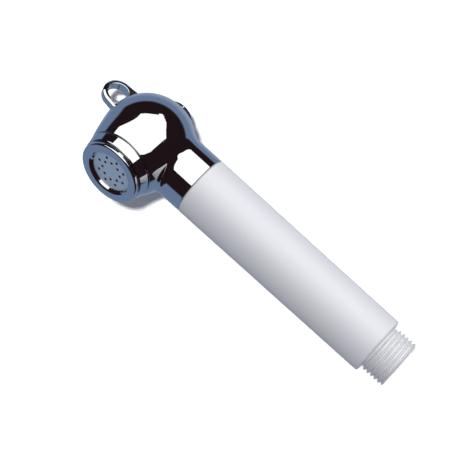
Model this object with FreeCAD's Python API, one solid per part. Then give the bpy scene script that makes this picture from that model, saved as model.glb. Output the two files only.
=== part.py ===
import FreeCAD, Part
import math
import os

from FreeCAD import Vector

# Handheld shower head: a hollow chrome ball head with a push-button valve, on a white handle.
# Millimetres. The origin is the centre of the sealing face at the hose end, +Z runs up the
# handle to the head, and the nozzle faces -Y. "Reach" is the distance in front of the handle's
# axis, so a point on the valve axis has y = -reach.

# --- hose end ---------------------------------------------------------------------------
THREAD_R = 10.4775          # G 1/2 major radius
THREAD_PITCH = 1.814
THREAD_DEPTH = 1.162
THREAD_TOP = 9.7            # where the thread runs out into the undercut
UNDERCUT_R = 9.2
SHOULDER_Z = 11.2           # lower end of the white sleeve
SPIGOT_BODY_R = 10.5
SPIGOT_BORE_R = 7.2         # holds the check valve
SPIGOT_TOP = 38.0
FLANGE_Z = (14.0, 17.0)     # pulls on the sleeve's floor
FLANGE_R = 10.9

# --- handle -----------------------------------------------------------------------------
GRIP_R_LOW = 12.4
GRIP_R_TOP = 12.95
GRIP_BORE_R = 11.0
GRIP_EDGE = 1.4             # rounding of the sleeve's two outer edges
GRIP_TOP = 105.0
TUBE_R = 6.0
TUBE_BORE_R = 4.6
TUBE_Z = (28.0, 112.0)
FIT = 0.05                  # radial clearance of sliding and screwed pairs

# --- head -------------------------------------------------------------------------------
BALL_R = 19.4
BALL_REACH = 1.5            # the ball's centre lies a little in front of the handle's axis
WALL = 2.6
AXIS_Z = 132.3              # ball, nozzle, valve and button share this level axis
NECK_R = 12.9
NECK_TAIL_R = 10.95         # the neck's tail inside the sleeve
NECK_TAIL_Z = 97.0
BLEND_START = 5.0           # in front of the ball's centre, where the ball runs into the nose
NOSE_REACH = 18.6           # front edge of the casting
NOSE_R = 15.0
FRONT_WALL_REACH = 12.6
FRONT_BORE_R = 12.2         # takes the collar's spigot
VALVE_HOLE_R = 9.4
FLANGE_REACH = (14.0, 14.8, 15.6)   # front wall, valve gasket's face, valve flange's face
BACK_BORE_R = 8.4           # takes the button's bush
BACK_BORE_REACH = -11.4
TAIL_BORE_R = 7.3           # takes the valve body's tail
BOSS_R = 10.4
BOSS_REACH = -8.0

# --- nozzle -----------------------------------------------------------------------------
SEAM = 0.35                 # width of the fine grooves between the chrome rings
COLLAR_R_BACK = 14.95
COLLAR_R_FRONT = 13.8
COLLAR_REACH = 23.2         # front edge of the collar
LIP_R = 13.5
LIP_REACH = 25.2            # front of the bezel
LIP_ROUND = 1.4
LIP_MOUTH_R = 9.4
PLATE_REACH = 23.6          # front face of the spray plate
PLATE_THICK = 1.0
PLATE_R = 9.9
PLATE_WINDOW_R = 8.6
BEZEL_BODY_R = 12.3
HOLE_R = 0.55
HOLE_RINGS = ((6.41, 0.0), (4.34, 22.5))    # radius and phase of the two rings of holes
HOLES_PER_RING = 8
HOLE_PHASE = 6.3
DIFFUSER_THICK = 1.6

# --- push-button valve ------------------------------------------------------------------
BUTTON_R = 6.8
BUTTON_EDGE_REACH = -19.3
BUTTON_TOP_REACH = -20.5
BUTTON_TRAVEL = 3.0
BUSH_R = 8.35
STEM_R = 2.6
SEAT_R = 4.0                # the bore that the stem's O-rings seal in
OUTLET_R = 6.0

# --- hanging eye ------------------------------------------------------------------------
EYE_Y = 5.9
EYE_Z = 154.95
EYE_R = 6.3
EYE_HOLE_R = 4.2
EYE_THICK = 4.0
EYE_LEAN = 3.5              # degrees, top backwards
PEG_R = 0.8                 # two pegs under the eye's feet, in the ball's wall
PEG_Y = (1.6, 9.0)
PEG_DEPTH = 1.8

X_AXIS = Vector(1, 0, 0)
Y_AXIS = Vector(0, 1, 0)
Z_AXIS = Vector(0, 0, 1)


def save(name, shape):
    """Writes one sub-part to its own STEP file."""
    if not shape.isValid():
        raise ValueError(name + " isn't a valid shape")
    shape.exportStep(os.path.join("parts", name + ".step"))
    print(name, len(shape.Solids), "solid(s)", round(shape.Volume, 1), "mm3")


def outline(points):
    """Closed wire through (x, z) points. Four numbers are an arc: a point on it, then its end."""
    edges = []
    last = Vector(points[0][0], 0, points[0][1])
    for point in list(points[1:]) + [points[0][:2]]:
        end = Vector(point[-2], 0, point[-1])
        if (end - last).Length < 1e-7:
            continue
        if len(point) == 4:
            middle = Vector(point[0], 0, point[1])
            edges.append(Part.Arc(last, middle, end).toShape())
        else:
            edges.append(Part.makeLine(last, end))
        last = end
    return Part.Wire(edges)


def turned(points):
    """Solid of revolution about Z from an outline of (radius, z) points."""
    return Part.Face(outline(points)).revolve(Vector(0, 0, 0), Z_AXIS, 360)


def on_valve_axis(shape):
    """Moves a shape turned about Z onto the valve axis, so that its z becomes reach."""
    moved = shape.copy()
    moved.rotate(Vector(0, 0, 0), X_AXIS, 90)
    moved.translate(Vector(0, 0, AXIS_Z))
    return moved


def nose(points):
    """Solid of revolution about the valve axis from (radius, reach) points."""
    return on_valve_axis(turned(points))


def nose_cylinder(radius, start, end):
    """Cylinder on the valve axis between two reaches."""
    return on_valve_axis(Part.makeCylinder(radius, end - start, Vector(0, 0, start)))


def ring(inner, outer, low, high):
    """Plain ring outline as (radius, position) points."""
    return [(inner, low), (outer, low), (outer, high), (inner, high)]


def round_edge(corner_r, corner_z, size, turn_in, up):
    """Arc that rounds an outline's outer corner. Returns its start, and its middle and end."""
    back = size * (1 - math.sqrt(0.5))
    flat = (corner_r - size, corner_z)
    side = (corner_r, corner_z - up * size)
    middle = (corner_r - back, corner_z - up * back)
    if turn_in:
        return side, middle + flat
    return flat, middle + side


def o_ring(centre_r, position, section_r):
    """O-ring about Z at a height."""
    return Part.makeTorus(centre_r, section_r, Vector(0, 0, position))


def coil(mean_r, wire_r, low, high, turns):
    """Round-wire compression spring about Z, its turns between two heights."""
    height = high - low - 2 * wire_r
    helix = Part.makeLongHelix(height / turns, height, mean_r)
    section = Part.Wire(Part.makeCircle(wire_r, Vector(mean_r, 0, 0), Y_AXIS))
    spring = Part.Wire(helix.Edges).makePipeShell([section], True, True)
    spring.translate(Vector(0, 0, low + wire_r))
    return spring


# --- hose end and handle ----------------------------------------------------------------

def thread_groove():
    """V groove of the hose thread, with a rounded root, swept along a helix."""
    root_half = 0.2
    open_half = 0.95
    lift = 0.35
    root = THREAD_R - THREAD_DEPTH
    mouth = THREAD_R + lift
    profile = outline([(mouth, -open_half), (root, -root_half), (root - 0.08, 0, root, root_half),
                       (mouth, open_half)])
    profile.translate(Vector(0, 0, -THREAD_PITCH))
    helix = Part.makeHelix(THREAD_PITCH, THREAD_TOP + 1.2 * THREAD_PITCH, root)
    helix.translate(Vector(0, 0, -THREAD_PITCH))
    return Part.Wire(helix.Edges).makePipeShell([profile], True, True)


def make_hose_spigot():
    chamfer = 0.5
    seal_land = 9.3
    body = turned([
        (SPIGOT_BORE_R, 0),
        (seal_land, 0),
        (THREAD_R - chamfer, 0),
        (THREAD_R, chamfer),
        (THREAD_R, THREAD_TOP - 0.3),
        (UNDERCUT_R, THREAD_TOP + 0.5),
        (UNDERCUT_R, SHOULDER_Z - 0.5),
        (SPIGOT_BODY_R, SHOULDER_Z),
        (SPIGOT_BODY_R, FLANGE_Z[0]),
        (FLANGE_R, FLANGE_Z[0]),
        (FLANGE_R, FLANGE_Z[1]),
        (SPIGOT_BODY_R - 1.2, FLANGE_Z[1] + 1.2),
        (SPIGOT_BODY_R - 1.2, SPIGOT_TOP),
        (TUBE_R + FIT, SPIGOT_TOP),
        (TUBE_R + FIT, TUBE_Z[0] - 0.2),
        (TUBE_BORE_R, TUBE_Z[0] - 0.2),
        (TUBE_BORE_R, TUBE_Z[0] - 3.0),
        (SPIGOT_BORE_R, TUBE_Z[0] - 5.0),
    ])
    tube_groove = turned(ring(TUBE_R, TUBE_R + 1.6, 32.0, 34.4))
    return body.cut(thread_groove()).cut(tube_groove)


def make_handle_grip():
    edge_low = round_edge(GRIP_R_LOW, SHOULDER_Z, GRIP_EDGE, False, -1)
    edge_top = round_edge(GRIP_R_TOP, GRIP_TOP, 0.9, True, 1)
    return turned([
        (SPIGOT_BODY_R + FIT, SHOULDER_Z),
        edge_low[0],
        edge_low[1],
        edge_top[0],
        edge_top[1],
        (GRIP_BORE_R, GRIP_TOP),
        (GRIP_BORE_R, FLANGE_Z[0]),
        (SPIGOT_BODY_R + FIT, FLANGE_Z[0]),
    ])


def make_inner_tube():
    return turned(ring(TUBE_BORE_R, TUBE_R, *TUBE_Z))


def make_tube_o_rings():
    """The same O-ring at both ends of the inner tube."""
    return Part.makeCompound([o_ring(TUBE_R + 0.8, z, 0.75) for z in (33.2, 104.2)])


def make_tube_spacers():
    """Two star-shaped rings that keep the inner tube in the middle of the sleeve."""
    spacers = []
    for low in (55.0, 80.0):
        body = turned(ring(TUBE_R + FIT, TUBE_R + 1.6, low, low + 4))
        for k in range(6):
            fin = Part.makeBox(GRIP_BORE_R - TUBE_R - 1.0, 1.2, 4, Vector(TUBE_R + 0.8, -0.6, low))
            fin.rotate(Vector(0, 0, 0), Z_AXIS, 60 * k)
            body = body.fuse(fin)
        spacers.append(body.removeSplitter())
    return Part.makeCompound(spacers)


# --- check valve in the hose end --------------------------------------------------------

VALVE_LOW = 6.0
VALVE_HIGH = 22.0
POPPET_LIFT = 2.0
POPPET_SEAT_Z = 9.0


def make_inlet_strainer():
    """Dished disc of fine holes in the mouth of the hose end."""
    strainer = turned(ring(0.0, SPIGOT_BORE_R - FIT, 3.6, 4.6))
    strainer = strainer.fuse(turned(ring(6.2, SPIGOT_BORE_R - FIT, 4.6, VALVE_LOW))).removeSplitter()
    hole_r = 0.45
    for radius, count in ((0.0, 1), (1.5, 6), (3.0, 12), (4.5, 18), (5.7, 24)):
        for k in range(count):
            turn = 2 * math.pi * k / count
            spot = Vector(radius * math.cos(turn), radius * math.sin(turn), 3.0)
            strainer = strainer.cut(Part.makeCylinder(hole_r, 3.0, spot))
    return strainer


def make_check_valve_body():
    """Cage with a conical seat below, a guide hub above and an O-ring groove outside."""
    outer = SPIGOT_BORE_R - FIT
    body = turned([
        (3.6, VALVE_LOW),
        (outer, VALVE_LOW),
        (outer, 10.6),
        (outer - 0.95, 10.6),
        (outer - 0.95, 11.8),
        (outer, 11.8),
        (outer, VALVE_HIGH),
        (5.4, VALVE_HIGH),
        (5.4, POPPET_SEAT_Z + 1.8),
        (3.6, POPPET_SEAT_Z),
    ])
    hub = turned(ring(1.1 + FIT, 2.3, 18.5, VALVE_HIGH))
    for k in range(3):
        arm = Part.makeBox(3.9, 1.2, 2.0, Vector(2.0, -0.6, VALVE_HIGH - 2.0))
        arm.rotate(Vector(0, 0, 0), Z_AXIS, 120 * k)
        hub = hub.fuse(arm)
    return body.fuse(hub).removeSplitter()


def make_check_valve_poppet():
    """Cone that sits on the seat, with the stem that the hub guides."""
    return turned([
        (0, POPPET_SEAT_Z - 1.0),
        (2.3, POPPET_SEAT_Z - 1.0),
        (4.7, POPPET_SEAT_Z + 1.5),
        (4.7, POPPET_SEAT_Z + 2.6),
        (1.1, POPPET_SEAT_Z + 3.4),
        (1.1, 20.0),
        (0, 20.0),
    ])


def make_check_valve_spring():
    return coil(1.75, 0.22, POPPET_SEAT_Z + 3.5, 18.4, 5)


def make_check_valve_o_ring():
    return o_ring(SPIGOT_BORE_R - 0.5, 11.2, 0.45)


# --- head -------------------------------------------------------------------------------

def blend_radius(along):
    """Radius where the ball runs into the nose, from 0 on the ball to 1 at the front edge."""
    start_r = math.sqrt(BALL_R**2 - BLEND_START**2)
    length = NOSE_REACH - BALL_REACH - BLEND_START
    start_slope = -BLEND_START / start_r * length
    end_slope = -0.42 * length
    square = along**2
    cube = along**3
    return (start_r * (2 * cube - 3 * square + 1) + start_slope * (cube - 2 * square + along)
            + NOSE_R * (3 * square - 2 * cube) + end_slope * (cube - square))


def ball_and_nose():
    """Outer form of the head: a ball that runs smoothly into its nose."""
    centre = Vector(0, -BALL_REACH, AXIS_Z)
    split = -BALL_REACH - BLEND_START
    behind = Part.makeBox(60, 60, 60, Vector(-30, split, AXIS_Z - 30))
    ball = Part.makeSphere(BALL_R, centre).common(behind)
    sections = []
    steps = 6
    for k in range(steps + 1):
        along = k / steps
        reach = BALL_REACH + BLEND_START + along * (NOSE_REACH - BALL_REACH - BLEND_START)
        circle = Part.makeCircle(blend_radius(along), Vector(0, -reach, AXIS_Z), Y_AXIS)
        sections.append(Part.Wire(circle))
    return ball.fuse(Part.makeLoft(sections, True, False))


def make_head_shell():
    edge = round_edge(NECK_R, GRIP_TOP, 0.25, False, -1)
    neck = turned([
        (0, NECK_TAIL_Z),
        (NECK_TAIL_R, NECK_TAIL_Z),
        (NECK_TAIL_R, GRIP_TOP),
        edge[0],
        edge[1],
        (NECK_R, AXIS_Z - 8),
        (0, AXIS_Z - 8),
    ])
    body = ball_and_nose().fuse(neck)
    cavity = Part.makeSphere(BALL_R - WALL, Vector(0, -BALL_REACH, AXIS_Z))
    keep = Part.makeBox(60, 30 + FRONT_WALL_REACH, 60, Vector(-30, -FRONT_WALL_REACH, AXIS_Z - 30))
    cavity = cavity.common(keep).cut(nose_cylinder(BOSS_R, -30, BOSS_REACH))
    body = body.cut(cavity)
    for bore in (
        nose_cylinder(FRONT_BORE_R, FLANGE_REACH[0], NOSE_REACH + 1),
        nose_cylinder(VALVE_HOLE_R, 10, 15),
        nose_cylinder(BACK_BORE_R, -30, BACK_BORE_REACH),
        nose_cylinder(TAIL_BORE_R, -15, BOSS_REACH + 1),
        Part.makeCylinder(TUBE_R + FIT, TUBE_Z[1] + 0.3 - NECK_TAIL_Z, Vector(0, 0, NECK_TAIL_Z)),
        Part.makeCylinder(TUBE_BORE_R, 12, Vector(0, 0, TUBE_Z[1])),
        turned(ring(TUBE_R, TUBE_R + 1.6, 103.0, 105.4)),
        eye_pegs(PEG_R + FIT, PEG_DEPTH + 0.1, 0.5),
    ):
        body = body.cut(bore)
    return body.removeSplitter()


def ball_top(y):
    """Height of the ball's surface above the middle plane."""
    return AXIS_Z + math.sqrt(BALL_R**2 - (y + BALL_REACH)**2)


def eye_pegs(radius, depth, above):
    """Upright pegs that reach from the ball's wall into the eye's two feet."""
    pegs = [Part.makeCylinder(radius, depth + above, Vector(0, y, ball_top(y) - depth)) for y in PEG_Y]
    return pegs[0].fuse(pegs[1])


def make_hanging_eye():
    """Lug with a round hole. Its feet follow the ball, and a peg from each goes into the wall."""
    half = EYE_THICK / 2
    low = ball_top(EYE_Y) - 6
    flare = 0.6
    plate = Part.Face(Part.Wire([
        Part.Arc(Vector(0, EYE_Y - EYE_R, EYE_Z), Vector(0, EYE_Y, EYE_Z + EYE_R),
                 Vector(0, EYE_Y + EYE_R, EYE_Z)).toShape(),
        Part.makeLine(Vector(0, EYE_Y + EYE_R, EYE_Z), Vector(0, EYE_Y + EYE_R + flare, low)),
        Part.makeLine(Vector(0, EYE_Y + EYE_R + flare, low), Vector(0, EYE_Y - EYE_R - flare, low)),
        Part.makeLine(Vector(0, EYE_Y - EYE_R - flare, low), Vector(0, EYE_Y - EYE_R, EYE_Z)),
    ]))
    plate.translate(Vector(-half, 0, 0))
    lug = plate.extrude(Vector(EYE_THICK, 0, 0))
    rims = [e for e in lug.Edges if e.BoundBox.XLength < 1e-6 and e.BoundBox.ZMax > low + 1]
    lug = lug.makeFillet(0.7, rims)
    lug.rotate(Vector(0, EYE_Y, EYE_Z), X_AXIS, -EYE_LEAN)
    ball = Part.makeSphere(BALL_R, Vector(0, -BALL_REACH, AXIS_Z))
    lug = lug.cut(ball)
    hole = Part.makeCylinder(EYE_HOLE_R, 10, Vector(-5, EYE_Y, EYE_Z), X_AXIS)
    return lug.cut(hole).fuse(eye_pegs(PEG_R, PEG_DEPTH, 0.8)).removeSplitter()


def make_nozzle_collar():
    """Ring screwed into the head. The bezel screws into its mouth."""
    back = NOSE_REACH + SEAM
    return nose([
        (9.6, FLANGE_REACH[2]),
        (FRONT_BORE_R - FIT, FLANGE_REACH[2]),
        (FRONT_BORE_R - FIT, NOSE_REACH - 1.4),
        (FRONT_BORE_R - 1.0, NOSE_REACH - 1.4),
        (FRONT_BORE_R - 1.0, NOSE_REACH),
        (NOSE_R - 1.2, NOSE_REACH),
        (NOSE_R - 1.2, back),
        (COLLAR_R_BACK - 0.25, back),
        (COLLAR_R_BACK, back + 0.25),
        (COLLAR_R_FRONT, COLLAR_REACH - 0.25),
        (COLLAR_R_FRONT - 0.25, COLLAR_REACH),
        (BEZEL_BODY_R + FIT, COLLAR_REACH),
        (BEZEL_BODY_R + FIT, 19.4),
        (9.6, 19.4),
    ])


def make_collar_o_ring():
    return on_valve_axis(o_ring(FRONT_BORE_R - 0.5, NOSE_REACH - 0.7, 0.48))


def make_spray_bezel():
    """Front ring with a rounded lip. Its body screws into the collar and carries the plate."""
    lip = round_edge(LIP_R, LIP_REACH, LIP_ROUND, True, 1)
    inner = PLATE_R + FIT
    return nose([
        (inner, 20.2),
        (BEZEL_BODY_R, 20.2),
        (BEZEL_BODY_R, COLLAR_REACH + SEAM),
        (LIP_R - 0.2, COLLAR_REACH + SEAM),
        lip[0],
        lip[1],
        (LIP_MOUTH_R + 0.6, LIP_REACH),
        (LIP_MOUTH_R, LIP_REACH - 0.6),
        (PLATE_WINDOW_R, PLATE_REACH),
        (inner, PLATE_REACH),
    ])


def make_spray_plate():
    """Thin plate with two rings of spray holes."""
    low = PLATE_REACH - PLATE_THICK
    plate = turned(ring(0, PLATE_R, low, PLATE_REACH))
    for radius, phase in HOLE_RINGS:
        for k in range(HOLES_PER_RING):
            turn = math.radians(HOLE_PHASE + phase + 360 * k / HOLES_PER_RING)
            spot = Vector(radius * math.sin(turn), radius * math.cos(turn), low - 1)
            plate = plate.cut(Part.makeCylinder(HOLE_R, PLATE_THICK + 2, spot))
    return on_valve_axis(plate)


def make_plate_gasket():
    return nose(ring(8.2, PLATE_R - 0.1, 19.4 + DIFFUSER_THICK, PLATE_REACH - PLATE_THICK))


def make_flow_diffuser():
    """Disc on the collar's ledge that spreads the water, with a ring of slots."""
    low = 19.4
    disc = turned([
        (0, low),
        (11.6, low),
        (11.6, low + 0.7),
        (9.4, low + 0.7),
        (9.4, low + DIFFUSER_THICK),
        (0, low + DIFFUSER_THICK),
    ])
    for k in range(12):
        slot = Part.makeBox(3.0, 1.0, DIFFUSER_THICK + 2, Vector(4.6, -0.5, low - 1))
        slot.rotate(Vector(0, 0, 0), Z_AXIS, 30 * k)
        disc = disc.cut(slot)
    return on_valve_axis(disc)


# --- push-button valve ------------------------------------------------------------------

def make_valve_body():
    """Tube from the front wall to the back boss. Side ports let the water in."""
    body = nose([
        (OUTLET_R, FLANGE_REACH[2]),
        (OUTLET_R, 4.2),
        (SEAT_R + FIT, 3.2),
        (SEAT_R + FIT, -2.4),
        (SEAT_R + 1.3, -2.4),
        (SEAT_R + 1.3, -6.6),
        (SEAT_R + FIT, -6.6),
        (SEAT_R + FIT, -11.3),
        (TAIL_BORE_R - FIT, -11.3),
        (TAIL_BORE_R - FIT, -10.4),
        (TAIL_BORE_R - 0.9, -10.4),
        (TAIL_BORE_R - 0.9, -8.8),
        (TAIL_BORE_R - FIT, -8.8),
        (TAIL_BORE_R - FIT, 12.0),
        (VALVE_HOLE_R - 0.2, 13.4),
        (VALVE_HOLE_R - 0.2, FLANGE_REACH[1]),
        (FRONT_BORE_R - 0.4, FLANGE_REACH[1]),
        (FRONT_BORE_R - 0.4, FLANGE_REACH[2]),
    ])
    port_r = 1.5
    for k in range(4):
        port = Part.makeCylinder(port_r, 12, Vector(0, 0, -4.5), X_AXIS)
        port.rotate(Vector(0, 0, 0), Z_AXIS, 45 + 90 * k)
        body = body.cut(on_valve_axis(port))
    return body


def make_valve_gasket():
    return nose(ring(VALVE_HOLE_R + 0.1, FRONT_BORE_R - 0.4, *FLANGE_REACH[:2]))


def make_valve_body_o_ring():
    return on_valve_axis(o_ring(TAIL_BORE_R - 0.45, -9.6, 0.42))


def make_valve_stem():
    """Stem with two lands. The front one closes the seat bore until the button is pressed."""
    groove_r = SEAT_R - 1.1
    land_r = SEAT_R - 0.02
    thin_r = 2.0
    return nose([
        (0, 2.6),
        (land_r - 0.4, 2.6),
        (land_r, 2.2),
        (land_r, 1.4),
        (groove_r, 1.4),
        (groove_r, -0.2),
        (land_r, -0.2),
        (land_r, -1.0),
        (thin_r, -1.6),
        (thin_r, -7.4),
        (land_r, -8.0),
        (land_r, -8.8),
        (groove_r, -8.8),
        (groove_r, -10.4),
        (land_r, -10.4),
        (land_r, -11.4),
        (STEM_R, -11.4),
        (STEM_R, BUTTON_EDGE_REACH + 0.2),
        (0, BUTTON_EDGE_REACH + 0.2),
    ])


def make_stem_o_rings():
    """The same O-ring on both lands of the stem."""
    middles = (0.6, -9.6)
    return Part.makeCompound([on_valve_axis(o_ring(SEAT_R - 0.55, m, 0.54)) for m in middles])


def make_button_bush():
    """Threaded ring in the back of the ball. Its floor guides the stem and holds the spring."""
    rim_reach = -17.3
    return nose([
        (STEM_R + FIT, BACK_BORE_REACH - 0.05),
        (BUSH_R, BACK_BORE_REACH - 0.05),
        (BUSH_R, -12.6),
        (BUSH_R - 0.9, -12.6),
        (BUSH_R - 0.9, -14.0),
        (BUSH_R, -14.0),
        (BUSH_R, rim_reach + 0.4),
        (BUSH_R - 0.4, rim_reach),
        (BUTTON_R + 0.3, rim_reach),
        (BUTTON_R + FIT, rim_reach + 0.25),
        (BUTTON_R + FIT, -12.3),
        (STEM_R + FIT, -12.3),
    ])


def make_bush_o_ring():
    return on_valve_axis(o_ring(BUSH_R - 0.4, -13.3, 0.42))


def make_push_button():
    """Domed cap pressed on the stem's end."""
    skirt_reach = -15.6
    inner_r = BUTTON_R - 1.1
    under = BUTTON_EDGE_REACH + 1.2
    edge = 0.6
    blank = turned([
        (STEM_R, under),
        (inner_r, under),
        (inner_r, skirt_reach),
        (BUTTON_R, skirt_reach),
        (BUTTON_R, BUTTON_EDGE_REACH + edge),
        (BUTTON_R - 0.3 * edge, BUTTON_EDGE_REACH + 0.3 * edge, BUTTON_R - edge, BUTTON_EDGE_REACH),
        (BUTTON_R - edge, BUTTON_TOP_REACH),
        (0, BUTTON_TOP_REACH),
        (0, BUTTON_EDGE_REACH + 0.2),
        (STEM_R, BUTTON_EDGE_REACH + 0.2),
    ])
    rise = BUTTON_EDGE_REACH - BUTTON_TOP_REACH
    dome_r = ((BUTTON_R - edge)**2 + rise**2) / (2 * rise)
    dome = Part.makeSphere(dome_r, Vector(0, 0, BUTTON_TOP_REACH + dome_r))
    return on_valve_axis(blank.common(dome))


def make_return_spring():
    spring = coil(4.3, 0.3, 12.35, 18.1, 4)
    spring.rotate(Vector(0, 0, 0), X_AXIS, -90)
    spring.translate(Vector(0, 0, AXIS_Z))
    return spring


os.makedirs("parts", exist_ok=True)
save("hose_spigot", make_hose_spigot())
save("handle_grip", make_handle_grip())
save("inner_tube", make_inner_tube())
save("tube_o_rings", make_tube_o_rings())
save("tube_spacers", make_tube_spacers())
save("inlet_strainer", make_inlet_strainer())
save("check_valve_body", make_check_valve_body())
save("check_valve_poppet", make_check_valve_poppet())
save("check_valve_spring", make_check_valve_spring())
save("check_valve_o_ring", make_check_valve_o_ring())
save("head_shell", make_head_shell())
save("hanging_eye", make_hanging_eye())
save("nozzle_collar", make_nozzle_collar())
save("collar_o_ring", make_collar_o_ring())
save("spray_bezel", make_spray_bezel())
save("spray_plate", make_spray_plate())
save("plate_gasket", make_plate_gasket())
save("flow_diffuser", make_flow_diffuser())
save("valve_body", make_valve_body())
save("valve_gasket", make_valve_gasket())
save("valve_body_o_ring", make_valve_body_o_ring())
save("valve_stem", make_valve_stem())
save("stem_o_rings", make_stem_o_rings())
save("button_bush", make_button_bush())
save("bush_o_ring", make_bush_o_ring())
save("push_button", make_push_button())
save("return_spring", make_return_spring())
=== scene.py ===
import math
import bpy
import bmesh
import numpy as np
from mathutils import Matrix, Vector


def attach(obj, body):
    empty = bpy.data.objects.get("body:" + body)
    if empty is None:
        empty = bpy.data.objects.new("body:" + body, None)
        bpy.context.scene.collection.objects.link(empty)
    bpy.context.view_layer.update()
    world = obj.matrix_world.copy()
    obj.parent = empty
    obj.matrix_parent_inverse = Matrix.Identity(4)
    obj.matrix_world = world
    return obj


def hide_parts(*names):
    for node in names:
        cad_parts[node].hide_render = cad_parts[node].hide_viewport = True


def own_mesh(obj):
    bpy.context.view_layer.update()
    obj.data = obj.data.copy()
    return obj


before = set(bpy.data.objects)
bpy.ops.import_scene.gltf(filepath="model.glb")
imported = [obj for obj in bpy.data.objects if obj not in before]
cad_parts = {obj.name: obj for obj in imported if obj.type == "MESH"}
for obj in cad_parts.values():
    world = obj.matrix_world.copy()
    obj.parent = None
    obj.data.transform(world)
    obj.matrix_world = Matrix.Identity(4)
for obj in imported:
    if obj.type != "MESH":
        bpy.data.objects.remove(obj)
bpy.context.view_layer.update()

MM = 0.001
# The valve axis, on which the ball, nozzle and button are turned, is level. "Reach" is the
# distance in front of the handle's axis. All lengths in the builders below are millimetres.
AXIS_Z = 132.3
BALL_R = 19.4
BALL_REACH = 1.5
NECK_R = 12.9
GRIP_TOP = 105.0
NOSE_REACH = 18.6
NOSE_R = 15.0
COLLAR_REACH = 23.2
PLATE_REACH = 23.6
SLEEVE_BORE_R = 11.0
TUBE_BORE_R = 6.05
BUSH_HOLE_R = 8.9
EYE_Y = 5.9
EYE_Z = 154.95
# farther than anything on the object
FAR = 1e9


# --- mesh builders ----------------------------------------------------------------------

def new_mesh(name, verts, faces):
    """A mesh from millimetre points, with its normals outwards."""
    mesh = bpy.data.meshes.new(name)
    mesh.from_pydata([Vector(v) * MM for v in verts], [], faces)
    mesh.validate()
    bm = bmesh.new()
    bm.from_mesh(mesh)
    bmesh.ops.recalc_face_normals(bm, faces=bm.faces)
    bm.to_mesh(mesh)
    bm.free()
    return mesh


def add_object(name, data):
    thing = bpy.data.objects.new(name, data)
    bpy.context.scene.collection.objects.link(thing)
    return thing


def smooth(mesh, sharp=None):
    """Smooth shading, with edges sharper than an angle in degrees left crisp."""
    mesh.polygons.foreach_set("use_smooth", [True] * len(mesh.polygons))
    if sharp is not None:
        mesh.set_sharp_from_angle(angle=math.radians(sharp))


def finish_piece(name, verts, faces, material, body, node, sharp=None):
    """Makes a piece from millimetre points, and sets what it rides on and which node it replaces."""
    mesh = new_mesh(name, verts, faces)
    smooth(mesh, sharp)
    mesh.materials.append(material)
    piece = add_object(name, mesh)
    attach(piece, body)
    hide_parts(node)
    return piece


def rounded(corners, closed=True, turn_step=14.0, support=0.05, fixed_steps=None):
    """Profile points from (radius, position, rounding) corners.

    Each corner becomes an arc, and each straight run gets a point close to both its ends, so
    that the smooth shading stays flat on the runs.
    """
    count = len(corners)
    out = []
    for i, (r, z, q) in enumerate(corners):
        here = np.array([r, z], float)
        if not closed and i in (0, count - 1):
            out.append(tuple(here))
            continue
        before = np.array(corners[i - 1][:2], float) - here
        after = np.array(corners[(i + 1) % count][:2], float) - here
        len_before, len_after = np.linalg.norm(before), np.linalg.norm(after)
        before, after = before / len_before, after / len_after
        angle = math.acos(max(-1.0, min(1.0, float(before @ after))))
        turn = math.pi - angle
        if q <= 0 or turn < 1e-3:
            out.append(tuple(here))
            continue
        tangent = min(q * math.tan(turn / 2), 0.46 * len_before, 0.46 * len_after)
        q = tangent / math.tan(turn / 2)
        start, end = here + before * tangent, here + after * tangent
        centre = here + (before + after) / np.linalg.norm(before + after) * q / math.sin(angle / 2)
        if support < 0.4 * len_before:
            out.append(tuple(start + before * min(support, 0.4 * (len_before - tangent))))
        steps = fixed_steps or max(2, int(math.degrees(turn) / turn_step) + 1)
        a, b = start - centre, end - centre
        for k in range(steps + 1):
            t = k / steps
            p = a * math.sin((1 - t) * turn) + b * math.sin(t * turn)
            out.append(tuple(centre + p / math.sin(turn)))
        if support < 0.4 * len_after:
            out.append(tuple(end + after * min(support, 0.4 * (len_after - tangent))))
    return out


def on_handle(r, position, turn):
    return (r * math.cos(turn), r * math.sin(turn), position)


def on_valve_axis(r, reach, turn):
    return (r * math.sin(turn), -reach, AXIS_Z + r * math.cos(turn))


def behind_handle(r, position, turn):
    """As on_valve_axis, for a position measured the other way, towards the button."""
    return on_valve_axis(r, -position, turn)


def lathe(points, place, segments=192, closed=True, change=None):
    """Turns a profile. change(r, position, turn) may return another radius, as for a thread."""
    verts, faces, rings = [], [], []
    for r, position in points:
        if r < 1e-6:
            rings.append([len(verts)])
            verts.append(place(0.0, position, 0.0))
            continue
        ring = []
        for k in range(segments):
            turn = 2 * math.pi * k / segments
            radius = change(r, position, turn) if change else r
            ring.append(len(verts))
            verts.append(place(radius, position, turn))
        rings.append(ring)
    pairs = list(zip(rings, rings[1:] + rings[:1])) if closed else list(zip(rings, rings[1:]))
    for a, b in pairs:
        if len(a) == 1 and len(b) == 1:
            continue
        for k in range(segments):
            j = (k + 1) % segments
            if len(a) == 1:
                faces.append((a[0], b[j], b[k]))
            elif len(b) == 1:
                faces.append((a[k], a[j], b[0]))
            else:
                faces.append((a[k], a[j], b[j], b[k]))
    return verts, faces


def dense(points, low, high, step):
    """Adds points along straight runs between two positions, so that a thread can be cut there."""
    out = [points[0]]
    for (r0, z0), (r1, z1) in zip(points, points[1:]):
        inside = min(z0, z1) >= low - 1e-6 and max(z0, z1) <= high + 1e-6
        parts = max(1, int(abs(z1 - z0) / step)) if inside else 1
        for k in range(1, parts + 1):
            out.append((r0 + (r1 - r0) * k / parts, z0 + (z1 - z0) * k / parts))
    return out


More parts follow.
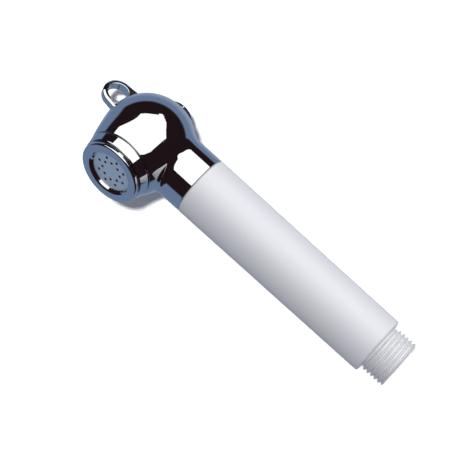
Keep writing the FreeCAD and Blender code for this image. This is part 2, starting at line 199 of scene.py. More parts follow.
def thread_cut(position, turn, pitch):
    """Depth share of a rounded V thread, 0 on the crest and 1 in the root."""
    crest_share, flank_share, rounding = 0.16, 0.62, 0.45
    wave = abs(((position / pitch - turn / (2 * math.pi)) % 1.0) - 0.5) * 2
    ramp = max(0.0, min(1.0, (wave - crest_share) / flank_share))
    return ramp * ramp * (3 - 2 * ramp) * rounding + ramp * (1 - rounding)


# --- materials --------------------------------------------------------------------------

def new_material(name, color, roughness, metallic=0.0, spread=0.05, scale=60.0, bump=0.05,
                 bump_scale=400.0, coat=0.0, stretch=(1, 1, 1), tint=0.03, extra=None):
    """Principled material with fine variation of colour, roughness and surface, at object scale."""
    material = bpy.data.materials.new(name)
    material.use_nodes = True
    tree = material.node_tree
    shader = tree.nodes["Principled BSDF"]
    shader.inputs["Metallic"].default_value = metallic
    shader.inputs["Coat Weight"].default_value = coat
    shader.inputs["Coat Roughness"].default_value = 0.08
    place = tree.nodes.new("ShaderNodeTexCoord")
    mapping = tree.nodes.new("ShaderNodeMapping")
    mapping.inputs["Scale"].default_value = stretch
    tree.links.new(place.outputs["Object"], mapping.inputs["Vector"])

    broad = tree.nodes.new("ShaderNodeTexNoise")
    broad.inputs["Scale"].default_value = scale
    broad.inputs["Detail"].default_value = 5.0
    tree.links.new(mapping.outputs["Vector"], broad.inputs["Vector"])
    rough = tree.nodes.new("ShaderNodeMapRange")
    rough.inputs["From Min"].default_value = 0.3
    rough.inputs["From Max"].default_value = 0.7
    rough.inputs["To Min"].default_value = max(0.0, roughness - spread)
    rough.inputs["To Max"].default_value = roughness + spread
    tree.links.new(broad.outputs["Fac"], rough.inputs["Value"])
    tree.links.new(rough.outputs["Result"], shader.inputs["Roughness"])

    shade = tree.nodes.new("ShaderNodeMix")
    shade.data_type = "RGBA"
    shade.inputs["A"].default_value = (*color, 1)
    shade.inputs["B"].default_value = (*[c * (1 - tint * 2) for c in color], 1)
    tree.links.new(broad.outputs["Fac"], shade.inputs["Factor"])
    tree.links.new(shade.outputs["Result"], shader.inputs["Base Color"])

    fine = tree.nodes.new("ShaderNodeTexNoise")
    fine.inputs["Scale"].default_value = bump_scale
    fine.inputs["Detail"].default_value = 3.0
    tree.links.new(mapping.outputs["Vector"], fine.inputs["Vector"])
    height = tree.nodes.new("ShaderNodeBump")
    height.inputs["Strength"].default_value = bump
    height.inputs["Distance"].default_value = 0.0002
    tree.links.new(fine.outputs["Fac"], height.inputs["Height"])
    tree.links.new(height.outputs["Normal"], shader.inputs["Normal"])
    if extra:
        extra(tree, shader, place, height)
    return material


def add_bump(tree, shader, under, source, strength, distance):
    """Lays one more bump over the surface."""
    second = tree.nodes.new("ShaderNodeBump")
    second.inputs["Strength"].default_value = strength
    second.inputs["Distance"].default_value = distance
    tree.links.new(source, second.inputs["Height"])
    tree.links.new(under.outputs["Normal"], second.inputs["Normal"])
    tree.links.new(second.outputs["Normal"], shader.inputs["Normal"])


def chrome_marks(tree, shader, place, height):
    """Hairline scratches and a few wiped smears in the plating."""
    scratch = tree.nodes.new("ShaderNodeTexNoise")
    scratch.inputs["Scale"].default_value = 260.0
    scratch.inputs["Detail"].default_value = 8.0
    scratch.inputs["Distortion"].default_value = 2.2
    squeeze = tree.nodes.new("ShaderNodeMapping")
    squeeze.inputs["Scale"].default_value = (1.0, 0.12, 1.0)
    squeeze.inputs["Rotation"].default_value = (0.6, 0.3, 0.9)
    tree.links.new(place.outputs["Object"], squeeze.inputs["Vector"])
    tree.links.new(squeeze.outputs["Vector"], scratch.inputs["Vector"])
    line = tree.nodes.new("ShaderNodeMapRange")
    line.inputs["From Min"].default_value = 0.66
    line.inputs["From Max"].default_value = 0.74
    tree.links.new(scratch.outputs["Fac"], line.inputs["Value"])
    add_bump(tree, shader, height, line.outputs["Result"], 0.06, 0.0001)


def chrome(name, roughness=0.028):
    return new_material(name, (0.80, 0.815, 0.83), roughness, metallic=1.0, spread=0.012, scale=45.0,
                        bump=0.0015, bump_scale=160.0, tint=0.015, extra=chrome_marks)


def plate_brushing(tree, shader, place, height):
    """Fine circular turning marks round the plate's centre."""
    shift = tree.nodes.new("ShaderNodeMapping")
    shift.inputs["Location"].default_value = (0, 0, -AXIS_Z * MM)
    tree.links.new(place.outputs["Object"], shift.inputs["Vector"])
    rings = tree.nodes.new("ShaderNodeTexWave")
    rings.wave_type = "RINGS"
    rings.rings_direction = "Y"
    rings.inputs["Scale"].default_value = 900.0
    rings.inputs["Distortion"].default_value = 3.0
    rings.inputs["Detail"].default_value = 3.0
    tree.links.new(shift.outputs["Vector"], rings.inputs["Vector"])
    add_bump(tree, shader, height, rings.outputs["Fac"], 0.12, 0.00005)


def parting_line(tree, shader, place, height):
    """A faint raised mould line along both sides of the white pieces, and soft flow marks."""
    split = tree.nodes.new("ShaderNodeSeparateXYZ")
    tree.links.new(place.outputs["Object"], split.inputs["Vector"])
    away = tree.nodes.new("ShaderNodeMath")
    away.operation = "ABSOLUTE"
    tree.links.new(split.outputs["Y"], away.inputs[0])
    line = tree.nodes.new("ShaderNodeMapRange")
    line.inputs["From Min"].default_value = 0.00006
    line.inputs["From Max"].default_value = 0.00016
    line.inputs["To Min"].default_value = 1.0
    line.inputs["To Max"].default_value = 0.0
    tree.links.new(away.outputs["Value"], line.inputs["Value"])
    add_bump(tree, shader, height, line.outputs["Result"], 0.25, 0.00008)


head_chrome = chrome("head_chrome")
eye_chrome = chrome("eye_chrome", 0.035)
collar_chrome = chrome("collar_chrome", 0.03)
bezel_chrome = chrome("bezel_chrome", 0.03)
button_chrome = chrome("button_chrome", 0.035)
bush_chrome = chrome("bush_chrome", 0.05)
plate_satin = new_material("plate_satin", (0.76, 0.86, 0.95), 0.32, metallic=0.55, spread=0.06,
                           scale=180.0, bump=0.10, bump_scale=900.0, extra=plate_brushing)
# near-black for the walls of the spray holes: painted shade, so that the holes fall dark
hole_painted_shade = new_material("hole_painted_shade", (0.02, 0.022, 0.028), 0.6, spread=0.1, scale=900.0, bump=0.1,
                          bump_scale=1500.0)
grip_white = new_material("grip_white", (0.87, 0.87, 0.89), 0.42, spread=0.05, scale=30.0, bump=0.10,
                          bump_scale=700.0, tint=0.008, stretch=(1, 1, 0.3), extra=parting_line)
spigot_white = new_material("spigot_white", (0.86, 0.86, 0.87), 0.36, spread=0.06, scale=60.0, bump=0.10,
                            bump_scale=900.0, tint=0.01, extra=parting_line)
rubber = new_material("seal_rubber", (0.025, 0.025, 0.027), 0.55, spread=0.1, scale=300.0, bump=0.25,
                      bump_scale=1500.0)
# near-black inner parts: painted shade, so that the flow diffuser seen through the spray holes stays dark
inner_plastic = new_material("inner_plastic", (0.022, 0.022, 0.025), 0.5, spread=0.08, scale=120.0,
                             bump=0.12, bump_scale=900.0)
poppet_plastic = new_material("poppet_plastic", (0.82, 0.82, 0.78), 0.45, spread=0.08, scale=150.0,
                              bump=0.1, bump_scale=900.0)
strainer_plastic = new_material("strainer_plastic", (0.16, 0.18, 0.20), 0.5, spread=0.08, scale=200.0,
                                bump=0.15, bump_scale=1200.0)
valve_brass = new_material("valve_brass", (0.72, 0.53, 0.26), 0.28, metallic=1.0, spread=0.08,
                           scale=150.0, bump=0.12, bump_scale=800.0, stretch=(1, 8, 1))
spring_steel = new_material("spring_steel", (0.58, 0.58, 0.60), 0.25, metallic=1.0, spread=0.08,
                            scale=300.0, bump=0.1, bump_scale=1500.0)


# --- head -------------------------------------------------------------------------------

BLEND_OFFSET = 5.0
BLEND_REACH = BALL_REACH + BLEND_OFFSET
NOSE_SLOPE = 0.42
NECK_FILLET = 1.6
# the neck stops this far under the valve axis, inside the ball
NECK_STOP = 6.0
# a distance that counts as well outside
OUTSIDE = 8.0


def nose_radius(reach):
    """Radius of the casting round the valve axis: a ball that runs smoothly into its nose."""
    ball = np.sqrt(np.maximum(BALL_R**2 - (reach - BALL_REACH)**2, 1e-6))
    start_r = math.sqrt(BALL_R**2 - BLEND_OFFSET**2)
    length = NOSE_REACH - BLEND_REACH
    along = np.clip((reach - BLEND_REACH) / length, 0, 1.3)
    start_slope = -BLEND_OFFSET / start_r * length
    end_slope = -NOSE_SLOPE * length
    square, cube = along**2, along**3
    blend = (start_r * (2 * cube - 3 * square + 1) + start_slope * (cube - 2 * square + along)
             + NOSE_R * (3 * square - 2 * cube) + end_slope * (cube - square))
    return np.where(reach < BLEND_REACH, ball, blend)


def head_distance(p):
    """About the distance of points from the head's outer form, with a fillet round the neck."""
    reach = -p[..., 1]
    ball = np.sqrt(p[..., 0]**2 + (p[..., 1] + BALL_REACH)**2 + (p[..., 2] - AXIS_Z)**2) - BALL_R
    nose = np.hypot(p[..., 0], p[..., 2] - AXIS_Z) - nose_radius(reach)
    steep = np.clip(np.abs(reach - BALL_REACH) / BALL_R, 0, 0.4)
    ball = np.where(reach < BLEND_REACH, ball, nose * np.sqrt(1 - steep**2))
    neck = np.hypot(p[..., 0], p[..., 1]) - NECK_R
    neck = np.where(p[..., 2] > AXIS_Z - NECK_STOP, OUTSIDE, neck)
    a = np.maximum(NECK_FILLET - ball, 0)
    b = np.maximum(NECK_FILLET - neck, 0)
    return np.maximum(NECK_FILLET, np.minimum(ball, neck)) - np.hypot(a, b)


def head_skin():
    """The head's outer skin, cast outwards from the ball's centre, with its rims turned in."""
    rows, columns, halvings = 210, 384, 40
    nearest, farthest = 8.0, 48.0
    centre = np.array([0, -BALL_REACH, AXIS_Z])
    front = math.atan2(NOSE_R, NOSE_REACH - BALL_REACH - 0.2)
    back = math.pi - math.asin(BUSH_HOLE_R / BALL_R)
    theta = np.linspace(front, back, rows)[:, None]
    phi = np.linspace(0, 2 * math.pi, columns, endpoint=False)[None, :]
    way = np.stack([np.sin(theta) * np.sin(phi), -np.cos(theta) * np.ones_like(phi),
                    np.sin(theta) * np.cos(phi)], -1)
    low = np.full(way.shape[:2], nearest)
    high = np.full(way.shape[:2], farthest)
    for _ in range(halvings):
        mid = (low + high) / 2
        outside = head_distance(centre + way * mid[..., None]) > 0
        high = np.where(outside, mid, high)
        low = np.where(outside, low, mid)
    skin = centre + way * ((low + high) / 2)[..., None]
    verts = [tuple(v) for v in skin.reshape(-1, 3)]
    rings = [[i * columns + k for k in range(columns)] for i in range(rows)]

    def turned_rings(points):
        made = []
        for r, reach in points:
            made.append(list(range(len(verts), len(verts) + columns)))
            verts.extend(on_valve_axis(r, reach, 2 * math.pi * k / columns) for k in range(columns))
        return made

    front_rim = [(NOSE_R - 0.02, NOSE_REACH - 0.12), (NOSE_R - 0.10, NOSE_REACH - 0.04),
                 (NOSE_R - 0.22, NOSE_REACH), (NOSE_R - 0.4, NOSE_REACH), (12.3, NOSE_REACH),
                 (12.2, NOSE_REACH - 0.1), (12.2, 14.1), (12.1, 14.0), (9.5, 14.0), (9.4, 13.9), (9.4, 12.6)]
    rim_reach = -(math.sqrt(BALL_R**2 - BUSH_HOLE_R**2) - BALL_REACH)
    back_rim = [(8.78, rim_reach - 0.02), (8.62, rim_reach + 0.04), (8.48, rim_reach + 0.18),
                (8.42, rim_reach + 0.4), (8.4, rim_reach + 0.7), (8.4, -11.5), (8.3, -11.4), (7.4, -11.4),
                (7.3, -11.3), (7.3, -8.0)]
    rings = turned_rings(front_rim)[::-1] + rings + turned_rings(back_rim)
    faces = [(a[k], a[(k + 1) % columns], b[(k + 1) % columns], b[k])
             for a, b in zip(rings, rings[1:]) for k in range(columns)]
    bm = bmesh.new()
    made = [bm.verts.new(Vector(v)) for v in verts]
    for f in faces:
        bm.faces.new([made[i] for i in f])
    # the neck is cut off level just above the sleeve, and its edge and spigot are drawn on below
    cut = bmesh.ops.bisect_plane(bm, geom=bm.verts[:] + bm.edges[:] + bm.faces[:],
                                 plane_co=(0, 0, GRIP_TOP + 0.3), plane_no=(0, 0, -1), clear_outer=True)
    loop = [e for e in cut["geom_cut"] if isinstance(e, bmesh.types.BMEdge)]
    for r, z in ((NECK_R, GRIP_TOP + 0.2), (NECK_R - 0.05, GRIP_TOP + 0.08), (NECK_R - 0.18, GRIP_TOP),
                 (NECK_R - 0.3, GRIP_TOP), (SLEEVE_BORE_R + 0.05, GRIP_TOP),
                 (SLEEVE_BORE_R - 0.05, GRIP_TOP - 0.1), (SLEEVE_BORE_R - 0.05, 97.1),
                 (SLEEVE_BORE_R - 0.15, 97.0), (TUBE_BORE_R + 0.1, 97.0), (TUBE_BORE_R, 97.1),
                 (TUBE_BORE_R, 112.0)):
        grown = bmesh.ops.extrude_edge_only(bm, edges=loop)["geom"]
        for v in (g for g in grown if isinstance(g, bmesh.types.BMVert)):
            turn = math.atan2(v.co.y, v.co.x)
            v.co = Vector((r * math.cos(turn), r * math.sin(turn), z))
        loop = [g for g in grown if isinstance(g, bmesh.types.BMEdge) and all(
            abs(v.co.z - z) < 1e-4 and abs(math.hypot(v.co.x, v.co.y) - r) < 1e-3 for v in g.verts)]
    verts = [tuple(v.co) for v in bm.verts]
    bm.verts.index_update()
    faces = [[v.index for v in f.verts] for f in bm.faces]
    bm.free()
    finish_piece("head_skin", verts, faces, head_chrome, "handset", "head_shell", 40)


def eye_outline(turn):
    """Distance from the hole's centre to the eye's outer edge, turn measured from straight up.

    Below the hole the sides flare a little, and both feet run down until they are inside the ball.
    """
    reach, flare, foot, sunk, longest = 6.3, 0.9, 8.0, 0.8, 14.0
    down = -math.cos(turn)
    if down <= 0:
        return reach
    slope = abs(math.sin(turn)) - flare / foot * down
    straight = reach / slope if slope > 1e-6 else FAR
    y, z = EYE_Y + BALL_REACH, EYE_Z - AXIS_Z
    half_b = y * math.sin(turn) + z * math.cos(turn)
    inside = half_b**2 - (y**2 + z**2 - (BALL_R - sunk)**2)
    ball = -half_b - math.sqrt(inside) if inside > 0 else FAR
    return min(straight, ball, longest)


def hanging_eye():
    """The eye as one bent bar round its hole, with rounded edges; its feet end in the ball."""
    half, inner = 2.0, 4.2
    steps, columns = 5, 240
    outer_round, inner_round = 0.5, 0.35
    chamfer_in, chamfer_down = 0.95, 0.55
    lean = math.radians(3.5)
    verts, faces, rings = [], [], []
    for k in range(columns):
        turn = 2 * math.pi * k / columns
        edge = eye_outline(turn)
        inset = min(chamfer_in, 0.45 * (edge - inner))
        corners = [(inner, -half, inner_round), (edge - inset, -half, outer_round),
                   (edge, chamfer_down - half, outer_round), (edge, half - chamfer_down, outer_round),
                   (edge - inset, half, outer_round), (inner, half, inner_round)]
        ring = []
        for rho, x in rounded(corners, support=0.02, fixed_steps=steps):
            # the bar leans back a little, while the hole stays where it is
            way = turn + lean if rho > inner + 0.5 else turn
            ring.append(len(verts))
            verts.append((x, EYE_Y + rho * math.sin(way), EYE_Z + rho * math.cos(way)))
        rings.append(ring)
    for a, b in zip(rings, rings[1:] + rings[:1]):
        for i in range(len(a)):
            j = (i + 1) % len(a)
            faces.append((a[i], a[j], b[j], b[i]))
    finish_piece("eye_ring", verts, faces, eye_chrome, "handset", "hanging_eye")


def collar():
    back = NOSE_REACH + 0.35
    points = rounded([(9.6, 15.6, 0.2), (12.15, 15.6, 0.4), (12.15, 17.2, 0.1), (11.2, 17.2, 0.1),
                      (11.2, NOSE_REACH, 0.1), (13.8, NOSE_REACH, 0.05), (13.8, back, 0.05),
                      (14.95, back, 0.3), (13.85, COLLAR_REACH, 0.8), (12.35, COLLAR_REACH, 0.2),
                      (12.35, 19.4, 0.1), (9.6, 19.4, 0.1)])
    verts, faces = lathe(points, on_valve_axis, 256)
    finish_piece("collar_ring", verts, faces, collar_chrome, "handset", "nozzle_collar",
                 50)


def bezel():
    """Front ring. Its body, hidden in the collar until it's unscrewed, carries a fine thread."""
    step = COLLAR_REACH + 0.35
    points = rounded([(9.95, 20.2, 0.15), (12.3, 20.2, 0.4), (12.3, step, 0.05), (13.5, step, 0.25),
                      (13.5, 25.2, 1.45), (9.9, 25.2, 0.4), (9.35, 24.65, 0.2),
                      (8.6, PLATE_REACH + 0.02, 0.12), (9.95, PLATE_REACH + 0.02, 0.05)])
    points = dense(points, 20.5, 23.3, 0.08)
    first, last, run_out, depth, pitch = 20.6, 23.2, 0.3, 0.32, 1.0

    def fine_thread(r, position, turn):
        if r < 12.25 or r > 12.35 or not first < position < last:
            return r
        fade = min(1.0, (position - first) / run_out, (last - position) / run_out)
        return r - depth * fade * thread_cut(position, turn, pitch)

    verts, faces = lathe(points, on_valve_axis, 256, change=fine_thread)
    finish_piece("bezel_ring", verts, faces, bezel_chrome, "bezel", "spray_bezel", 50)


def hole_places():
    """Centres of the spray holes as (turn, radius), in two rings of eight."""
    first, step = 6.3, 45
    for radius, phase in ((6.41, 0.0), (4.34, step / 2)):
        for k in range(8):
            yield math.radians(first + phase + step * k), radius


def plate():
    """Spray plate with a shallow step round it, and holes with a soft countersink."""
    back = PLATE_REACH - 1.0
    points = rounded([(0, back, 0), (9.9, back, 0.15), (9.9, PLATE_REACH, 0.15), (8.35, PLATE_REACH, 0.08),
                      (8.25, PLATE_REACH - 0.14, 0.06), (7.95, PLATE_REACH - 0.14, 0.06),
                      (7.85, PLATE_REACH, 0.08), (0, PLATE_REACH, 0)], closed=False)
    verts, faces = lathe(points, on_valve_axis, 192, closed=False)
    piece = finish_piece("plate_disc", verts, faces, plate_satin, "plate", "spray_plate")
    cutters, cuts = [], []
    profile = [(0, back - 0.6), (0.5, back - 0.6), (0.54, PLATE_REACH - 0.12), (0.57, PLATE_REACH - 0.05),
               (0.64, PLATE_REACH + 0.02), (0.8, PLATE_REACH + 0.5), (0, PLATE_REACH + 0.5)]
    for turn, radius in hole_places():
        x, z = radius * math.sin(turn), radius * math.cos(turn)
        v, f = lathe(profile, on_valve_axis, 28, closed=False)
        base = len(cutters)
        cutters.extend((p[0] + x, p[1], p[2] + z) for p in v)
        cuts.extend(tuple(i + base for i in face) for face in f)
    tool = add_object("hole_cutters", new_mesh("hole_cutters", cutters, cuts))
    boolean = piece.modifiers.new("holes", "BOOLEAN")
    boolean.object = tool
    boolean.solver = "EXACT"
    bpy.context.view_layer.update()
    holed = bpy.data.meshes.new_from_object(piece.evaluated_get(bpy.context.evaluated_depsgraph_get()))
    piece.modifiers.clear()
    piece.data = holed
    smooth(holed, 22)
    bpy.data.objects.remove(tool)
    holed.materials.append(hole_painted_shade)
    # the walls of the holes get a near-black material, painted shade: steep faces within the countersink
    for face in holed.polygons:
        x, z = face.center.x / MM, face.center.z / MM - AXIS_Z
        near = min(math.hypot(x - r * math.sin(t), z - r * math.cos(t)) for t, r in hole_places())
        if near < 0.66 and abs(face.normal.y) < 0.9:
            face.material_index = 1


def button():
    """Push button with a skirt and a shallow dome. Its inner face is open where the stem goes in."""
    edge, top, dome_edge_r, dome_steps = -19.3, -20.5, 6.1, 9
    rise = edge - top
    dome_r = (dome_edge_r**2 + rise**2) / (2 * rise)
    radii = [dome_edge_r * (1 - k / dome_steps) for k in range(1, dome_steps)]
    dome = [(r, top + dome_r - math.sqrt(dome_r**2 - r**2), 0) for r in radii]
    points = rounded([(2.6, -18.1, 0.1), (5.7, -18.1, 0.2), (5.7, -15.6, 0.2), (6.8, -15.6, 0.25),
                      (6.8, edge + 0.15, 0.7), (dome_edge_r, edge, 0.15)] + dome + [(0, top, 0)],
                     closed=False)
    points = [(2.6, -19.0)] + points
    verts, faces = lathe(points, on_valve_axis, 160, closed=False)
    finish_piece("button_cap", verts, faces, button_chrome, "button", "push_button", 45)


def bush():
    points = rounded([(2.65, -11.45, 0.1), (8.35, -11.45, 0.2), (8.35, -12.6, 0.05), (7.45, -12.6, 0.05),
                      (7.45, -14.0, 0.05), (8.35, -14.0, 0.05), (8.35, -17.3, 0.55), (6.85, -17.3, 0.35),
                      (6.85, -12.3, 0.2), (2.65, -12.3, 0.1)])
    verts, faces = lathe(points, on_valve_axis, 160)
    finish_piece("bush_ring", verts, faces, bush_chrome, "handset", "button_bush", 50)


# --- handle -----------------------------------------------------------------------------

def grip():
    points = rounded([(10.55, 11.2, 0.3), (12.4, 11.2, 1.5), (12.95, GRIP_TOP, 0.9), (11.0, GRIP_TOP, 0.2),
                      (11.0, 14.0, 0.2), (10.55, 14.0, 0.1)])
    verts, faces = lathe(points, on_handle, 192)
    finish_piece("grip_sleeve", verts, faces, grip_white, "handset", "handle_grip", 50)


def spigot():
    """Hose end with its real thread, undercut, flange and the socket for the inner tube."""
    crest, pitch, depth = 10.4775, 1.814, 1.162
    top = 9.6
    points = rounded([(7.2, 0, 0.35), (9.75, 0, 0.25), (crest, 0.75, 0.2), (crest, top, 0.1),
                      (9.2, top + 0.6, 0.3), (9.2, 10.8, 0.25), (10.5, 11.2, 0.15), (10.5, 14.0, 0.1),
                      (10.9, 14.0, 0.1), (10.9, 17.0, 0.2), (9.3, 18.2, 0.2), (9.3, 38.0, 0.3),
                      (6.05, 38.0, 0.2), (6.05, 27.8, 0.1), (4.6, 27.8, 0.1), (4.6, 25.0, 0.1),
                      (7.2, 23.0, 0.1)])
    points = dense(points, 0.0, 11.0, 0.07)

    def hose_thread(r, position, turn):
        if r < 9.0 or position > 11.1 or position < 0.02:
            return r
        fade = min(1.0, max(0.0, (top + 1.2 - position) / 1.4))
        return min(r, crest - depth * fade * thread_cut(position, turn, pitch))

    verts, faces = lathe(points, on_handle, 224, change=hose_thread)
    finish_piece("hose_end", verts, faces, spigot_white, "handset", "hose_spigot", 55)


def spring(name, node, mean_r, wire_r, low, high, turns, place):
    """Round-wire spring whose end turns are closed, on a mesh of its own."""
    sides, steps = 12, int(turns * 48)
    closed_turns = 0.75
    closed_share, closed_height = closed_turns / turns, 2 * wire_r * closed_turns
    free_height = high - low - 2 * wire_r - 2 * closed_height
    verts, faces = [], []
    for i in range(steps + 1):
        t = i / steps
        first = min(t / closed_share, 1)
        middle = min(max((t - closed_share) / (1 - 2 * closed_share), 0), 1)
        last = max((t - 1 + closed_share) / closed_share, 0)
        position = low + wire_r + closed_height * (first + last) + free_height * middle
        turn = 2 * math.pi * turns * t
        for k in range(sides):
            a = 2 * math.pi * k / sides
            verts.append(place(mean_r + wire_r * math.cos(a), position + wire_r * math.sin(a), turn))
    for i in range(steps):
        for k in range(sides):
            j = (k + 1) % sides
            faces.append((i * sides + k, i * sides + j, (i + 1) * sides + j, (i + 1) * sides + k))
    faces.append(list(range(sides)))
    faces.append(list(range(steps * sides, (steps + 1) * sides)))
    piece = finish_piece(name, verts, faces, spring_steel, "handset", node, 60)
    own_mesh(piece)


head_skin()
hanging_eye()
collar()
bezel()
plate()
button()
bush()
grip()
spigot()
spring("button_spring", "return_spring", mean_r=4.3, wire_r=0.3, low=12.35, high=18.1,
       turns=5.5, place=behind_handle)
spring("poppet_spring", "check_valve_spring", mean_r=1.75, wire_r=0.2, low=12.5, high=18.4,
       turns=6.5, place=on_handle)

# --- what stays as the CAD has it -------------------------------------------------------

KEPT = {
    rubber: ["collar_o_ring", "valve_body_o_ring", "stem_o_rings", "bush_o_ring", "tube_o_rings",
             "check_valve_o_ring", "plate_gasket", "valve_gasket"],
    # the inner parts carry the near-black painted shade
    inner_plastic: ["flow_diffuser", "tube_spacers", "inner_tube", "check_valve_body"],
    poppet_plastic: ["check_valve_poppet"],
    strainer_plastic: ["inlet_strainer"],
    valve_brass: ["valve_body", "valve_stem"],
}
for material, nodes in KEPT.items():
    for node in nodes:
        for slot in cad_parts[node].material_slots:
            slot.material = material

# --- camera, light and stage ------------------------------------------------------------

AZIMUTH, ELEVATION, ROLL = (math.radians(a) for a in (54.07, -7.25, 47.85))
DISTANCE = 0.6429
AIM = Vector((-0.00303, -0.00417, 0.08152))
LENS = 125.7

back = Vector((math.sin(AZIMUTH) * math.cos(ELEVATION), -math.cos(AZIMUTH) * math.cos(ELEVATION),
               math.sin(ELEVATION)))
level = Vector((math.cos(AZIMUTH), math.sin(AZIMUTH), 0))
upright = back.cross(level)
right = level * math.cos(ROLL) - upright * math.sin(ROLL)
up = level * math.sin(ROLL) + upright * math.cos(ROLL)

camera_data = bpy.data.cameras.new("camera")
camera = add_object("camera", camera_data)
camera.location = AIM + back * DISTANCE
camera.rotation_euler = Matrix((right, up, back)).transposed().to_euler()
camera_data.lens = LENS
camera_data.sensor_width = 36.0
camera_data.clip_start = 0.01
camera_data.clip_end = 20.0
bpy.context.scene.camera = camera

HEAD = Vector((0, -BALL_REACH, AXIS_Z)) * MM


def from_head(across, upwards, towards):
    """A point given from the head's centre along the camera's right, up and back, in metres."""
    return HEAD + right * across + up * upwards + back * towards


def card(name, corners, strength):
    """A white studio card that only the shiny surfaces see."""
    mesh = bpy.data.meshes.new(name)
    mesh.from_pydata([from_head(*c) for c in corners], [], [tuple(range(len(corners)))])
    thing = add_object(name, mesh)
    material = bpy.data.materials.new(name)
    material.use_nodes = True
    tree = material.node_tree
    tree.nodes.clear()
    glow = tree.nodes.new("ShaderNodeEmission")
    glow.inputs["Color"].default_value = (1.0, 1.0, 1.0, 1)
    glow.inputs["Strength"].default_value = strength
    out = tree.nodes.new("ShaderNodeOutputMaterial")
    tree.links.new(glow.outputs["Emission"], out.inputs["Surface"])
    mesh.materials.append(material)
    thing.visible_camera = False
    thing.visible_diffuse = False
    thing.visible_shadow = False
    thing.visible_transmission = False


# Outline of one big soft light above the camera, in metres across and up from the head's centre.
# Its lower right part is what the neck mirrors.
SOFT_LIGHT = [(-0.20, -0.05), (-0.40, 0.30), (-0.75, 0.95), (-1.15, 1.60), (-1.25, 2.30), (-0.60, 1.50),
              (-0.17, 1.00), (0.20, 0.98), (0.50, 1.10), (0.70, 1.50), (1.05, 1.75), (0.86, 1.15),
              (0.70, 0.60), (0.54, 0.30), (0.50, 0.15), (0.50, 0.05), (0.44, -0.02), (0.33, -0.02),
              (0.20, 0.03), (0.02, -0.06)]
SOFT_LIGHT_TOWARDS = 0.45
card("soft_light", [(across, upwards, SOFT_LIGHT_TOWARDS) for across, upwards in SOFT_LIGHT], 1.35)

# pale stage right behind the object: only its front shows, so views from behind see past it
stage_mesh = bpy.data.meshes.new("stage")
stage_out = Vector((back.x, back.y, 0)).normalized()
stage_side = Vector((-stage_out.y, stage_out.x, 0))
STAGE_GAP = 0.0215
STAGE_HALF = 1.2
middle = Vector((0, 0, 0.08)) - stage_out * STAGE_GAP
stage_mesh.from_pydata([middle + stage_side * a * STAGE_HALF + Vector((0, 0, b * STAGE_HALF))
                        for a, b in ((-1, -1), (1, -1), (1, 1), (-1, 1))], [], [(0, 1, 2, 3)])
stage = add_object("stage", stage_mesh)
stage_material = bpy.data.materials.new("stage")
stage_material.use_nodes = True
tree = stage_material.node_tree
tree.nodes.clear()
matte = tree.nodes.new("ShaderNodeBsdfDiffuse")
matte.inputs["Color"].default_value = (0.93, 0.93, 0.935, 1)
clear = tree.nodes.new("ShaderNodeBsdfTransparent")
facing = tree.nodes.new("ShaderNodeNewGeometry")
choose = tree.nodes.new("ShaderNodeMixShader")
out = tree.nodes.new("ShaderNodeOutputMaterial")
tree.links.new(facing.outputs["Backfacing"], choose.inputs["Fac"])
tree.links.new(matte.outputs["BSDF"], choose.inputs[1])
tree.links.new(clear.outputs["BSDF"], choose.inputs[2])
tree.links.new(choose.outputs["Shader"], out.inputs["Surface"])
stage_mesh.materials.append(stage_material)
stage.visible_glossy = False
stage.visible_diffuse = False
stage.visible_shadow = False


def sun(name, direction, strength, size):
    """Distant light, size degrees wide, from a direction along the camera's right, up and back."""
    data = bpy.data.lights.new(name, "SUN")
    data.energy = strength
    data.angle = math.radians(size)
    lamp = add_object(name, data)
    way = right * direction[0] + up * direction[1] + back * direction[2]
    lamp.rotation_mode = "QUATERNION"
    lamp.rotation_quaternion = way.to_track_quat("Z", "Y")
    lamp.visible_glossy = False
    return lamp


# The object and the stage are lit apart, so that the stage stays pale with one thin shadow.
key = sun("key", (-0.05, 0.07, 1.0), 0.95, 4.0)
soft_key = sun("soft_key", (0.52, 0.78, 0.60), 1.35, 60.0)
behind = sun("behind", (0.05, 0.1, -1.0), 1.2, 80.0)
stage_key = sun("stage_key", (-0.09, 0.09, 1.0), 3.4, 5.0)
only_stage = bpy.data.collections.new("only_stage")
only_stage.objects.link(stage)
stage_key.light_linking.receiver_collection = only_stage
not_stage = bpy.data.collections.new("not_stage")
not_stage.objects.link(stage)
not_stage.collection_objects[0].light_linking.link_state = "EXCLUDE"
for lamp in (key, soft_key, behind):
    lamp.light_linking.receiver_collection = not_stage

# The blue-grey paper round and behind the object, as soft-edged discs of the surroundings that only
# reflections see: two of the paper, and a lighter middle. Each has a direction along the camera's
# right, up and back, and the angles in degrees where it starts to fade and where it ends.
PAPER = [((0, 0, -1), 68, 76), ((-0.70, -0.62, -0.35), 26, 34), ((0.15, 0.2, -1), 5, 42)]

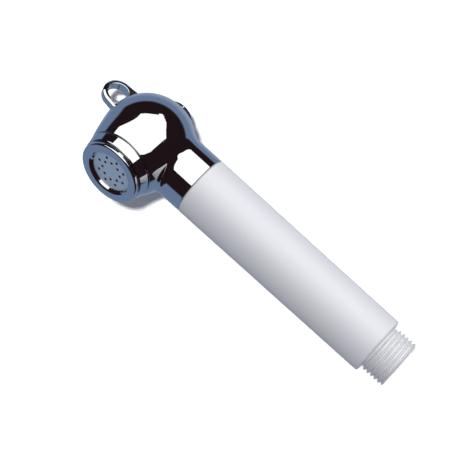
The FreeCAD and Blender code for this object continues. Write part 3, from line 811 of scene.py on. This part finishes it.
world = bpy.data.worlds.new("world")
bpy.context.scene.world = world
world.use_nodes = True
tree = world.node_tree
tree.nodes.clear()
seen = tree.nodes.new("ShaderNodeLightPath")
air = tree.nodes.new("ShaderNodeBackground")
air.inputs["Color"].default_value = (1.0, 1.0, 1.0, 1)
air.inputs["Strength"].default_value = 1.0
fill = tree.nodes.new("ShaderNodeBackground")
fill.inputs["Color"].default_value = (0.62, 0.64, 0.72, 1)
fill.inputs["Strength"].default_value = 0.42
dark = tree.nodes.new("ShaderNodeBackground")
dark.inputs["Strength"].default_value = 1.0
way = tree.nodes.new("ShaderNodeTexCoord")
tones = []
for centre, inner, outer in PAPER:
    toward = (right * centre[0] + up * centre[1] + back * centre[2]).normalized()
    aim = tree.nodes.new("ShaderNodeVectorMath")
    aim.operation = "DOT_PRODUCT"
    aim.inputs[1].default_value = toward
    tree.links.new(way.outputs["Generated"], aim.inputs[0])
    edge = tree.nodes.new("ShaderNodeMapRange")
    edge.interpolation_type = "SMOOTHSTEP"
    edge.inputs["From Min"].default_value = math.cos(math.radians(outer))
    edge.inputs["From Max"].default_value = math.cos(math.radians(inner))
    tree.links.new(aim.outputs["Value"], edge.inputs["Value"])
    tones.append(edge.outputs["Result"])
both = tree.nodes.new("ShaderNodeMath")
both.operation = "MAXIMUM"
tree.links.new(tones[0], both.inputs[0])
tree.links.new(tones[1], both.inputs[1])
tone = tree.nodes.new("ShaderNodeMix")
tone.data_type = "RGBA"
tone.inputs["A"].default_value = (0.016, 0.008, 0.010, 1)
tone.inputs["B"].default_value = (0.155, 0.225, 0.36, 1)
tree.links.new(both.outputs["Value"], tone.inputs["Factor"])
lit = tree.nodes.new("ShaderNodeMix")
lit.data_type = "RGBA"
lit.inputs["B"].default_value = (0.30, 0.37, 0.48, 1)
tree.links.new(tones[2], lit.inputs["Factor"])
tree.links.new(tone.outputs["Result"], lit.inputs["A"])
tree.links.new(lit.outputs["Result"], dark.inputs["Color"])
by_gloss = tree.nodes.new("ShaderNodeMixShader")
by_camera = tree.nodes.new("ShaderNodeMixShader")
out = tree.nodes.new("ShaderNodeOutputWorld")
tree.links.new(seen.outputs["Is Glossy Ray"], by_gloss.inputs["Fac"])
tree.links.new(fill.outputs["Background"], by_gloss.inputs[1])
tree.links.new(dark.outputs["Background"], by_gloss.inputs[2])
tree.links.new(seen.outputs["Is Camera Ray"], by_camera.inputs["Fac"])
tree.links.new(by_gloss.outputs["Shader"], by_camera.inputs[1])
tree.links.new(air.outputs["Background"], by_camera.inputs[2])
tree.links.new(by_camera.outputs["Shader"], out.inputs["Surface"])

bpy.context.scene.view_settings.view_transform = "Standard"
bpy.context.scene.view_settings.look = "None"
